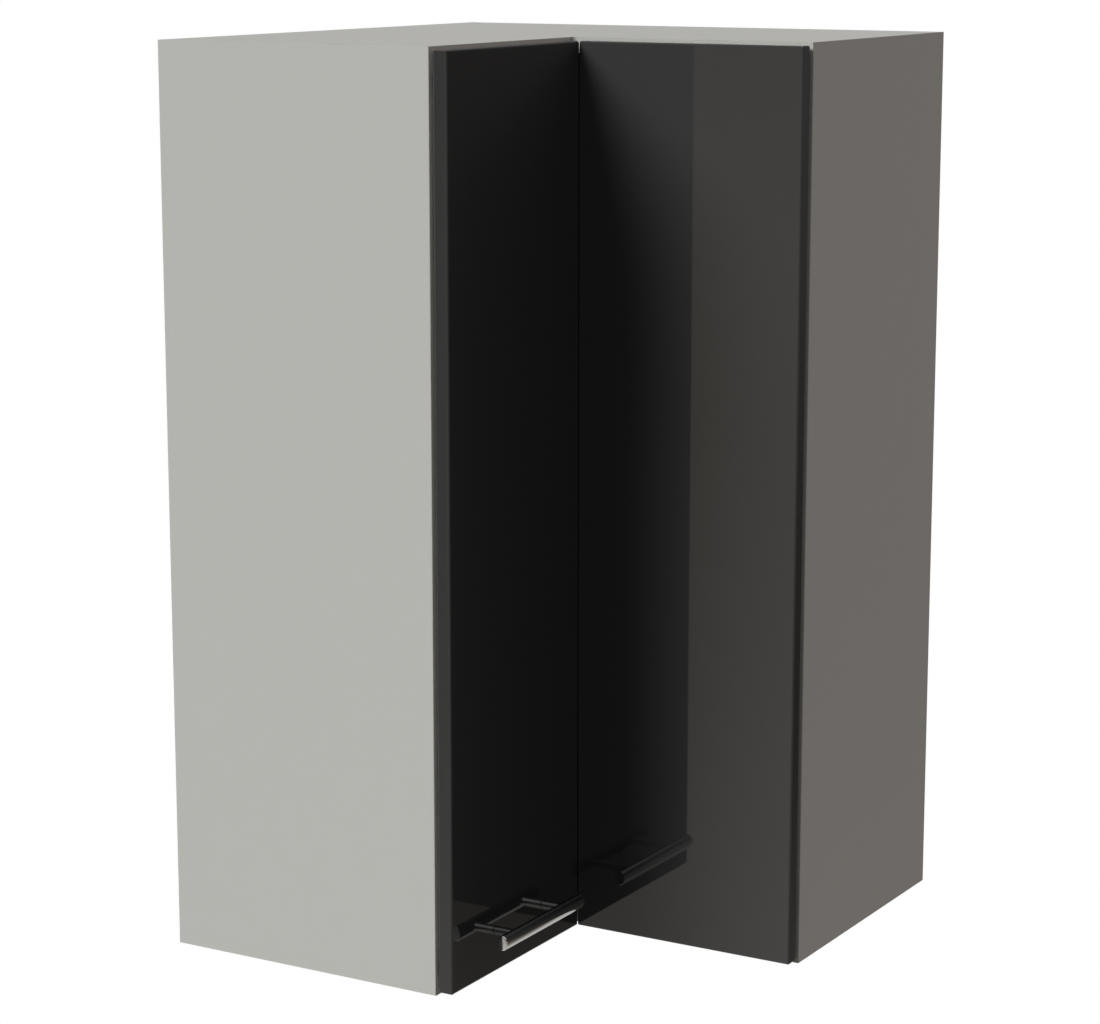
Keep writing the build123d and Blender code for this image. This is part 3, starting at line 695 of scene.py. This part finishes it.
def skin(points):
    """Vertices, quads and triangles of a closed skin. points[i, j] goes along the piece by i and round it
    by j. Strips of quads join the rings, and the first and last ring close on their own middle points.
    The signed volume, a sum of a · (b × c) / 6 over triangles, tells whether the faces look outwards."""
    rows, columns = points.shape[:2]
    vertices = np.vstack([points.reshape(-1, 3), points[[0, -1]].mean(axis=1)])
    here = np.arange((rows - 1) * columns).reshape(rows - 1, columns)
    beside = np.roll(here, -1, axis=1)
    quads = np.stack([here, beside, beside + columns, here + columns], axis=-1).reshape(-1, 4)
    first = np.arange(columns)
    last = first + (rows - 1) * columns
    middle = np.full(columns, rows * columns)
    start_fan = np.stack([np.roll(first, -1), first, middle], axis=-1)
    end_fan = np.stack([last, np.roll(last, -1), middle + 1], axis=-1)
    fans = np.vstack([start_fan, end_fan])
    triangles = np.vstack([quads[:, [0, 1, 2]], quads[:, [0, 2, 3]], fans])
    a, b, c = (vertices[triangles[:, k]] for k in range(3))
    if np.einsum("ij,ij->", a, np.cross(b, c)) < 0:
        quads, fans = quads[:, ::-1], fans[:, ::-1]
    return vertices, quads, fans


def placed(points, origin, outward, across):
    """Points drawn with X across and Z outward, turned to those directions and moved to their origin."""
    outward, across = np.array(outward, float), np.array(across, float)
    return points @ np.stack([across, np.cross(outward, across), outward]) + np.array(origin)


def dress(name, skins, finish, body, stands_for=()):
    """One object from several skins, riding on a body, in place of the nodes that it stands for."""
    made = [skin(points) for points in skins]
    starts = np.cumsum([0] + [len(vertices) for vertices, _, _ in made])
    vertices = np.vstack([part[0] for part in made])
    quads = np.vstack([part[1] + start for part, start in zip(made, starts)])
    fans = np.vstack([part[2] + start for part, start in zip(made, starts)])
    mesh = bpy.data.meshes.new(name)
    mesh.from_pydata(vertices.tolist(), [], quads.tolist() + fans.tolist())
    mesh.polygons.foreach_set("use_smooth", np.ones(len(mesh.polygons), dtype=bool))
    mesh.set_sharp_from_angle(angle=SHARP)
    mesh.materials.append(finish)
    piece = bpy.data.objects.new(name, mesh)
    scene.collection.objects.link(piece)
    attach(piece, body)
    if stands_for:
        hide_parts(*stands_for)
    print(name, "has", len(skins), "skins and", 2 * len(quads) + len(fans), "triangles")


# %% Helpers for turned pieces
ROUND = np.linspace(0, 2 * np.pi, 48, endpoint=False)


def turned(radius, level, angle=ROUND):
    """Rings about Z: (radius · cos, radius · sin, level). Radius and level may change along and round."""
    radius, level, angle = np.broadcast_arrays(radius, level, angle)
    return np.stack([radius * np.cos(angle), radius * np.sin(angle), level], axis=-1)


def arc(centre, radius, start, stop, steps=6):
    """Profile points (radius, level) on a circle: centre + radius · (cos, sin), from start to stop."""
    turn = np.radians(np.linspace(start, stop, steps))
    return np.stack([centre[0] + radius * np.cos(turn), centre[1] + radius * np.sin(turn)], axis=-1)


def lathe(profile):
    """A skin turned from a profile of (radius, level) points."""
    return turned(profile[:, :1], profile[:, 1:])


# %% [markdown]
# ## The bar handle
# The handle is a chromed bar with an oval section on two round feet. A cylinder squeezed flat would do for
# the bar, but its ends would stay sharp, and chrome shows every edge. So the section is carried along the
# bar and drawn in near the ends by a quarter circle, and the feet run up to the bar's own curve.

# %% Handle bar
END_ROUND = 0.0015      # rounding of the bar's two ends
END_RINGS = 9           # rings over one rounding

bar_low, bar_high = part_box("handle_bar")
bar_middle = middle_of("handle_bar")
bar_half = (bar_high - bar_low) / 2


def bar_skin():
    """(x + (a − d) cos φ, y, z + (b − d) sin φ): an oval of half axes a and b, less d near the ends.
    At r (1 − sin t) from an end d is r (1 − cos t), while t goes from 90 degrees to 0."""
    turn = np.radians(np.linspace(90, 0, END_RINGS))
    from_end = END_ROUND * (1 - np.sin(turn))
    drawn_in = END_ROUND * (1 - np.cos(turn))
    y = np.concatenate([bar_low.y + from_end, (bar_high.y - from_end)[::-1]])[:, None]
    less = np.concatenate([drawn_in, drawn_in[::-1]])[:, None]
    x = bar_middle.x + (bar_half.x - less) * np.cos(ROUND)
    z = bar_middle.z + (bar_half.z - less) * np.sin(ROUND)
    return np.stack(np.broadcast_arrays(x, y, z), axis=-1)


dress("bar_of_handle", [bar_skin()], chrome, "left_leaf", ["handle_bar"])

# %% Handle feet
FOOT_SINK = 0.0003      # how far a foot reaches into the bar
FOOT_ROUND = 0.0004     # rounding where a foot stands on the door
FOOT_RINGS = 5          # rings over that rounding
RUN_RINGS = 9           # rings from there to the bar


def foot_skin(node):
    """Rings of radius R from the door to the bar's rear, x = x₀ − a · √(1 − (R sin φ / b)²)."""
    low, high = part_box(node)
    middle = middle_of(node)
    radius = (high.z - low.z) / 2
    across, up = radius * np.cos(ROUND), radius * np.sin(ROUND)
    rear = bar_middle.x - bar_half.x * np.sqrt(1 - (up / bar_half.z) ** 2) + FOOT_SINK
    turn = np.radians(np.linspace(-90, 0, FOOT_RINGS))[:, None]
    start = low.x + FOOT_ROUND * (1 + np.sin(turn)) + 0 * ROUND
    stretch = np.linspace(0, 1, RUN_RINGS + 1)[1:, None]
    run = start[-1] + stretch * (rear - start[-1])
    share = np.vstack([1 - FOOT_ROUND / radius * (1 - np.cos(turn)), np.ones((RUN_RINGS, 1))])
    x = np.vstack([start, run])
    return np.stack([x, middle.y + share * across, middle.z + share * up], axis=-1)


for node in ("handle_foot_outer", "handle_foot_inner"):
    dress(node.replace("handle", "turned"), [foot_skin(node)], chrome, "left_leaf", [node])

# %% [markdown]
# ## Screws
# A screw is one turned skin from its tip to the bottom of its cross recess. Its thread is a helix: the
# radius falls and rises with the height less the angle, so the same groove climbs round and round. The
# recess is a plus sign in polar form. Its corners lie at fixed angles, so the rings have points there.

# %% Cross-recessed screw
ARM_HALF = 0.17         # half the width of a recess arm, as a share of the head's radius
ARM_REACH = 0.56        # its reach, as a share of the head's radius
RECESS = ((1.0, 0.0), (1.0, 0.1), (0.55, 0.62))     # its size going down, and depth in heights of the head
PAN_ROUND = 0.6         # rounding of a pan head, in heights of the head
SUNK_FACE = 0.96        # face of a sunk head, as a share of its radius
HEAD_EDGE = 0.0002      # from a sunk head's face to its sharp edge, and from a pan head to its neck
POINT = ((0.12, 0.0), (0.5, 0.0004))    # shares of the shaft's radius, and heights above the tip
THREAD_DEPTH = 0.2      # as a share of the shaft's radius
THREAD_RINGS = 4        # rings in one turn of the thread
RUN_IN = 0.001          # from the tip to the thread
RUN_OUT = 0.0004        # from the thread to the neck

arm_angle = np.degrees(np.arctan(ARM_HALF / ARM_REACH))
between = (arm_angle + 45) / 2
quarter = np.array([0, arm_angle, between, 45, 90 - between, 90 - arm_angle])
CROSS_ANGLES = np.radians(np.concatenate([quarter + 90 * k for k in range(4)]))
EVEN = np.ones(len(CROSS_ANGLES))       # a round ring of radius 1


def plus_sign(reach, half_width):
    """Polar radius of a plus sign: of its two bars the farther one, each min(reach/|cos|, half/|sin|)."""
    c, s = np.abs(np.cos(CROSS_ANGLES)) + 1e-9, np.abs(np.sin(CROSS_ANGLES)) + 1e-9
    level_bar = np.minimum(reach / c, half_width / s)
    upright_bar = np.minimum(reach / s, half_width / c)
    return np.maximum(level_bar, upright_bar)


def thread(radius, bottom, top, pitch):
    """Rings from bottom to top with radius · (1 − depth · |2 · frac(level/pitch − φ/2π) − 1|)."""
    levels = np.arange(bottom, top, pitch / THREAD_RINGS)
    phase = np.mod(levels[:, None] / pitch - CROSS_ANGLES / (2 * np.pi), 1)
    return zip(radius * (1 - THREAD_DEPTH * np.abs(2 * phase - 1)), levels)


def stacked(rings):
    """A skin from rings, each given as its polar radii at the cross angles and its level."""
    radii, levels = zip(*rings)
    return turned(np.array(radii), np.array(levels)[:, None], CROSS_ANGLES)


def screw_skin(head_radius, head, shaft_radius, length, pitch, sunk=False):
    """A pan head on a threaded shaft, or with sunk a countersunk head whose face is at level 0."""
    top = 0 if sunk else head
    neck = -head if sunk else -HEAD_EDGE
    rings = [(share * shaft_radius * EVEN, height - length) for share, height in POINT]
    rings += thread(shaft_radius, RUN_IN - length, neck - RUN_OUT, pitch)
    rings += [(shaft_radius * EVEN, neck)]
    if sunk:
        rings += [(head_radius * EVEN, -HEAD_EDGE), (SUNK_FACE * head_radius * EVEN, 0.0)]
    else:
        rounding = PAN_ROUND * head
        dome = arc((head_radius - rounding, head - rounding), rounding, 0, 80, 5)
        rings += [(head_radius * EVEN, 0.0)]
        rings += [(radius * EVEN, level) for radius, level in dome]
    cross = plus_sign(ARM_REACH * head_radius, ARM_HALF * head_radius)
    rings += [(share * cross, top - depth * head) for share, depth in RECESS]
    return stacked(rings)


# %% Where the screws sit
LEVELS = ("lower", "middle", "upper")
PLATE_SCREW_HALF = 0.016    # half the spacing of the screws in a mounting plate
CUP_SCREW_HALF = 0.024      # half the spacing of the screws in a cup's flange
CUP_SCREW_OFFSET = 0.0095   # from the middle of a cup, away from its link
FLANGE = 0.0012             # thickness of a cup's flange

wood_screw = screw_skin(head_radius=0.0033, head=0.0016, shaft_radius=0.0019, length=0.012, pitch=0.0014)


def cup_place(node):
    """Middle of a cup's mouth on the back of its leaf, and the way its flange is offset along X."""
    middle = middle_of(node)
    way = 1 if node.startswith("fold") else -1
    return np.array((middle.x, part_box(node)[1].y - FLANGE, middle.z)), way


cup_screws, door_screws, fold_screws = [], [], []
for level in LEVELS:
    for kind, found in (("door", door_screws), ("fold", fold_screws)):
        mouth, way = cup_place(f"{kind}_hinge_cup_{level}")
        for step in (-CUP_SCREW_HALF, CUP_SCREW_HALF):
            seat = mouth + (way * CUP_SCREW_OFFSET, FLANGE, step)
            cup_screws.append(placed(wood_screw, seat, (0, 1, 0), (1, 0, 0)))
        plate = f"{kind}_hinge_plate_{level}"
        middle = middle_of(plate)
        for step in (-PLATE_SCREW_HALF, PLATE_SCREW_HALF):
            seat = (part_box(plate)[0].x, middle.y, middle.z + step)
            found.append(placed(wood_screw, seat, (-1, 0, 0), (0, 1, 0)))

# %% Screws of the hinges
dress("hinge_cup_screws", cup_screws, zinc, "right_leaf", ["cup_screws"])
dress("panel_plate_screws", door_screws, zinc, "carcass", ["door_plate_screws"])
dress("leaf_plate_screws", fold_screws, zinc, "left_leaf", ["fold_plate_screws"])

# %% Screws of the handle
machine_screw = screw_skin(head_radius=0.004, head=0.002, shaft_radius=0.002, length=0.026, pitch=0.0012)
door_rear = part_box("left_door")[0].x
foot_screws = []
for node in ("handle_foot_outer", "handle_foot_inner"):
    middle = middle_of(node)
    foot_screws.append(placed(machine_screw, (door_rear, middle.y, middle.z), (-1, 0, 0), (0, 1, 0)))
dress("foot_screws", foot_screws, zinc, "left_leaf", ["handle_screws"])

# %% Screws of the corner post
POST_HEAD = 0.004           # radius of a head, so also a screw's middle from the side of its node's box

post_screw = screw_skin(
    head_radius=POST_HEAD, head=0.002, shaft_radius=0.002, length=0.040, pitch=0.0020, sunk=True
)
low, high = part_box("post_screws")
sunk_screws = []
for level, outward in ((low.z, -1), (high.z, 1)):
    for place in (low.x + POST_HEAD, high.x - POST_HEAD):
        sunk_screws.append(placed(post_screw, (place, -place, level), (0, 0, outward), (1, 0, 0)))
dress("sunk_post_screws", sunk_screws, zinc, "carcass", ["post_screws"])

# %% [markdown]
# ## Hinge cups
# A concealed hinge cup is pressed from sheet in one go: a round pot with a soft bottom corner, a rolled lip
# and two ears for the screws. The pot is turned from its profile. Each ear is a thin plate whose section is
# carried from the lip out to a rounded tip. A plain pin across the pot carries the link.

# %% Hinge cup skins
CUP_RADIUS = 0.0175
CUP_DEPTH = 0.0115
CUP_WALL = 0.0012
PRESS = 0.0015          # inner radius of the pressed corners
LIP = 0.0015            # how far the rolled lip reaches beyond the pot
LIP_ROUND = 0.0005
BOSS = 0.0085           # radius of the raised round in the bottom
BOSS_SLOPE = 0.0007
BOSS_RISE = 0.0004
EAR_ROOT = 0.0177       # where an ear starts under the lip, from the middle of the cup
EAR_TIP = 0.031         # its tip from the middle of the cup
EAR_HALF = 0.0065       # half its width
EAR_CORNER = 0.004
EAR_TOP = 0.0011        # its top face above the leaf
EAR_POINTS = 17         # points across an ear
EAR_RINGS = 9
PIN_RADIUS = 0.0015
PIN_OFFSET = 0.0095     # link pin from the middle of the cup, towards the leaf's edge
PIN_DEPTH = 0.006
PIN_HALF = 0.0136
PIN_RINGS = ((-1, 0.8), (-0.97, 1), (0.97, 1), (1, 0.8))    # shares of its half and of its radius


def pot_skin():
    """The profile goes from the outer bottom up to the lip and down again inside."""
    mouth = CUP_RADIUS - CUP_WALL
    inside = CUP_WALL - CUP_DEPTH
    rolled = FLANGE - LIP_ROUND
    return lathe(np.vstack([
        [(0.3 * CUP_RADIUS, -CUP_DEPTH)],
        arc((CUP_RADIUS - PRESS, PRESS - CUP_DEPTH), PRESS, -90, 0),
        [(CUP_RADIUS, FACE_GAP), (CUP_RADIUS + LIP, FACE_GAP)],
        arc((CUP_RADIUS + LIP - LIP_ROUND, rolled), LIP_ROUND, 0, 90, 4),
        arc((mouth + LIP_ROUND, rolled), LIP_ROUND, 90, 180, 4),
        arc((mouth - PRESS, inside + PRESS), PRESS, 0, -90),
        [(BOSS, inside), (BOSS - BOSS_SLOPE, inside + BOSS_RISE), (0.002, inside + BOSS_RISE)],
    ]))


def ear_skin(sign):
    """A plate with x across the ear and y from the lip's circle √(R² − x²) out to the rounded tip."""
    side = np.linspace(-1, 1, EAR_POINTS)
    across = CUP_SCREW_OFFSET + EAR_HALF * side
    start = np.sqrt(EAR_ROOT**2 - across**2)
    beyond = np.maximum(0, EAR_HALF * np.abs(side) - (EAR_HALF - EAR_CORNER))
    tip = EAR_TIP - EAR_CORNER + np.sqrt(EAR_CORNER**2 - beyond**2)
    out = start + np.linspace(0, 1, EAR_RINGS)[:, None] * (tip - start)
    top = np.stack(np.broadcast_arrays(across, out, EAR_TOP), axis=-1)
    under = top[:, ::-1].copy()
    under[..., 2] = FACE_GAP
    return np.concatenate([top, under], axis=1) * (1, sign, 1)


def pin_skin():
    """A plain round pin across the pot, under its mouth, with a small chamfer at each end."""
    along, share = np.array(PIN_RINGS).T[..., None]
    radius = PIN_RADIUS * share
    x, z = radius * np.cos(ROUND), radius * np.sin(ROUND)
    ring = np.stack(np.broadcast_arrays(x, along * PIN_HALF, z), axis=-1)
    return ring + (-PIN_OFFSET, 0, -PIN_DEPTH)


cup_skins = [pot_skin(), ear_skin(1), ear_skin(-1), pin_skin()]
for kind in ("door", "fold"):
    for level in LEVELS:
        node = f"{kind}_hinge_cup_{level}"
        mouth, way = cup_place(node)
        set_in = [placed(points * (way, 1, 1), mouth, (0, 1, 0), (1, 0, 0)) for points in cup_skins]
        dress(f"{kind}_cup_{level}", set_in, nickel, "right_leaf", [node])

# %% [markdown]
# ## Adjusting screws on the hinge arms
# A concealed hinge can be set sideways and in depth by two screws on the back of its arm. They are too
# small for the frame, so they are added here: two screws of the same kind, cut short, on each web.

# %% Adjusting screws
SET_PLACES = (0.30, 0.72)   # along the arm, as shares of its length

set_screw = screw_skin(head_radius=0.0029, head=0.0013, shaft_radius=0.0016, length=0.0011, pitch=0.0010)
for kind, body in (("door", "carcass"), ("fold", "left_leaf")):
    found = []
    for level in LEVELS:
        arm = f"{kind}_hinge_arm_{level}"
        low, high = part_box(arm)
        for share in SET_PLACES:
            seat = (low.x, low.y + share * (high.y - low.y), middle_of(arm).z)
            found.append(placed(set_screw, seat, (-1, 0, 0), (0, 1, 0)))
    dress(f"{kind}_hinge_set_screws", found, zinc, body)

# %% [markdown]
# ## Cams, shelf pins, bumpers and hanger screws
# These are the small parts that a fitter knows: the cam that draws a board to its panel, with a cross for
# the screwdriver and a thin rim that covers its hole; the shelf pin with its flat seat; the soft dome that
# quiets the door; and the two screws that level the cabinet on its rail.

# %% Cams
CAM_SETBACK = 0.062     # from the wall and from the front edge
CAM_INSET = 0.024       # from the end of the board
CAM_RADIUS = 0.0069
CAM_DEPTH = 0.0125
CAM_CHAMFER = 0.0005
CAM_RIM = 0.0078        # radius of the rim
CAM_PROUD = 0.0003      # how far the rim stands above the board
CAM_CROSS = (0.0044, 0.0010)            # reach and half width of the cross in its face
CAM_CROSS_BOTTOM = (0.0041, 0.0008)     # the same at the bottom of the cross
CAM_CROSS_DEPTH = 0.0032

cam = stacked([
    (0.9 * CAM_RADIUS * EVEN, -CAM_DEPTH),
    (CAM_RADIUS * EVEN, CAM_CHAMFER - CAM_DEPTH),
    (CAM_RADIUS * EVEN, 0.0),
    (CAM_RIM * EVEN, FACE_GAP),
    (CAM_RIM * EVEN, 0.5 * CAM_PROUD),
    (0.95 * CAM_RIM * EVEN, CAM_PROUD),
    (plus_sign(*CAM_CROSS), CAM_PROUD),
    (plus_sign(*CAM_CROSS_BOTTOM), -CAM_CROSS_DEPTH),
])
inner = -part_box("left_end_panel")[1].y      # inner face of an end panel, from the other leg's wall
cams = []
for face, outward in ((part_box("bottom_board")[1].z, 1), (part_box("top_board")[0].z, -1)):
    for place in (CAM_SETBACK, CARCASS_FRONT - CAM_SETBACK):
        for x, y in ((place, CAM_INSET - inner), (inner - CAM_INSET, -place)):
            cams.append(placed(cam, (x, y, face), (0, 0, outward), (1, 0, 0)))
dress("cross_slot_cams", cams, casting, "carcass", ["cam_housings"])

# %% Shelf pins
PIN_ROWS = (0.050, CARCASS_FRONT - 0.050)
POST_PIN = 0.026        # place of a pin on the face of the post
STEM_RADIUS = 0.0025
STEM_LENGTH = 0.0100
STEM_CHAMFER = 0.0005
COLLAR = 0.0030         # radius of the collar
COLLAR_TOP = 0.0006
SEAT_START = 0.0007     # the flat seat goes from here
SEAT_REACH = 0.0090     # to here
SEAT_CHAMFER = 0.0006
SEAT_HALF = (0.0040, 0.0025)
SEAT_POWER = 6          # of the superellipse |x/a|ⁿ + |y/b|ⁿ = 1


def shelf_pin_skin():
    """Rings of a round stem and its collar, then superellipses (a·|cos|^(2/n), b·|sin|^(2/n))."""
    circle = np.stack([np.cos(ROUND), np.sin(ROUND)], axis=-1)
    seat = np.sign(circle) * np.abs(circle) ** (2 / SEAT_POWER) * SEAT_HALF
    rings = [(0.8 * STEM_RADIUS * circle, -STEM_LENGTH)]
    rings += [(STEM_RADIUS * circle, STEM_CHAMFER - STEM_LENGTH), (STEM_RADIUS * circle, FACE_GAP)]
    rings += [(COLLAR * circle, FACE_GAP), (COLLAR * circle, COLLAR_TOP)]
    rings += [(seat, SEAT_START), (seat, SEAT_REACH - SEAT_CHAMFER), (0.85 * seat, SEAT_REACH)]
    return np.stack([np.column_stack([ring, np.full(len(ring), level)]) for ring, level in rings])


shelf_pin = shelf_pin_skin()
post_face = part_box("corner_post")[1].x
for shelf in ("lower_shelf", "upper_shelf"):
    node = f"{shelf}_pins"
    level = middle_of(node).z
    pins = [placed(shelf_pin, (x, -inner, level), (0, 1, 0), (-1, 0, 0)) for x in PIN_ROWS]
    pins += [placed(shelf_pin, (inner, -y, level), (-1, 0, 0), (0, -1, 0)) for y in PIN_ROWS]
    pins.append(placed(shelf_pin, (POST_PIN, -post_face, level), (0, -1, 0), (1, 0, 0)))
    pins.append(placed(shelf_pin, (post_face, -POST_PIN, level), (1, 0, 0), (0, 1, 0)))
    dress(f"{shelf}_rests", pins, zinc, "carcass", [node])

# %% Bumpers
SIDE_RISE = 0.25        # height of the upright side, as a share of the whole height
DOME_RISE = 0.75        # upright half axis of the dome, as a share of the whole height
DOME_CENTRE = 1 / 12    # height of its middle, as a share of that half axis

low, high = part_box("door_bumpers")
radius = (high.y - low.y) / 2
height = high.x - low.x
dome = lathe(np.vstack([
    [(0.5 * radius, 0.0), (radius, 0.0), (radius, SIDE_RISE * height)],
    arc((0, DOME_CENTRE), 1, 12, 80, 7) * (radius, DOME_RISE * height),
]))
middle = middle_of("door_bumpers")
domes = []
for z in (low.z + radius, high.z - radius):
    domes.append(placed(dome, (high.x, middle.y, z), (-1, 0, 0), (0, 1, 0)))
dress("bumper_domes", domes, bumper_dark, "left_leaf", ["door_bumpers"])

# %% Hanger screws
HANGER_SCREW_STEP = 0.016   # from the end of a hanger to its first screw, and on to the second
HANGER_RECESS = 0.003       # how deep the screws sit in the hanger's face

level_screw = screw_skin(head_radius=0.0033, head=0.0018, shaft_radius=0.0018, length=0.0040, pitch=0.0010)
hanger_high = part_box("left_hanger_body")[1]
z = middle_of("left_hanger_body").z
hanger_screws = []
for steps in (1, 2):
    x, y = hanger_high.x - steps * HANGER_SCREW_STEP, hanger_high.y - HANGER_RECESS
    hanger_screws.append(placed(level_screw, (x, y, z), (0, 1, 0), (1, 0, 0)))
    hanger_screws.append(placed(level_screw, (-y, -x, z), (-1, 0, 0), (0, 1, 0)))
dress("hanger_level_screws", hanger_screws, zinc, "carcass")
